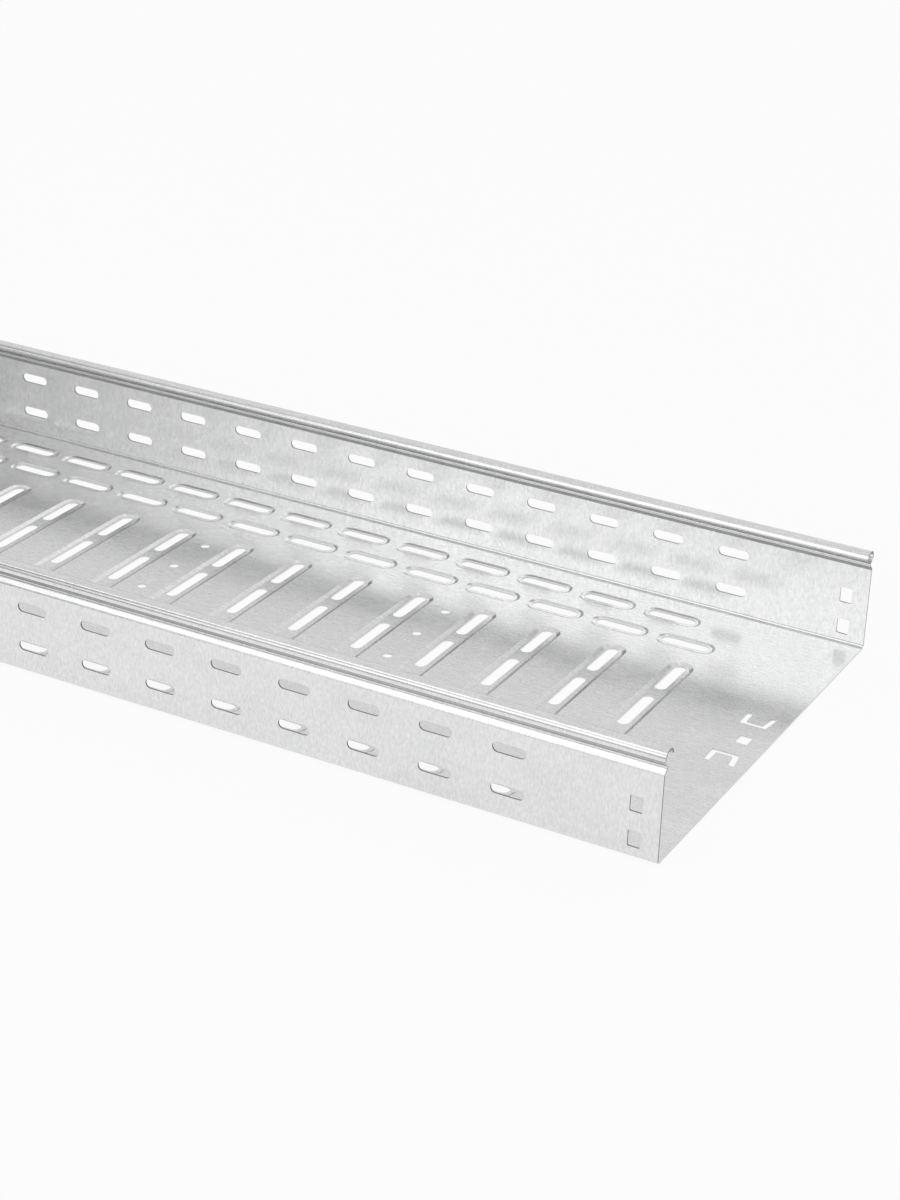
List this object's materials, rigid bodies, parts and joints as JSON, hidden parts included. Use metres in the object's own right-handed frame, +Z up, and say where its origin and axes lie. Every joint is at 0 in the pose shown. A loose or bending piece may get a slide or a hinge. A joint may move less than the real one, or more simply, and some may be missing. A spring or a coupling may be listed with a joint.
{
  "type": "perforated cable tray",
  "caption": "Long open tray of galvanised sheet with slotted walls, pressed floor ribs and slots, and rolled top edges, to carry cables.",
  "frame": {"origin": "middle of the tray's footprint, at the undersides of the pressed floor ribs", "axes": "+X along the tray, +Y across it, +Z up towards the open top"},
  "size_m": [2, 0.335, 0.0763],
  "materials": {
    "zinc_sheet": "galvanised, satin"
  },
  "bodies": {
    "root": {"tray": "zinc_sheet"}
  },
  "joints": []
}
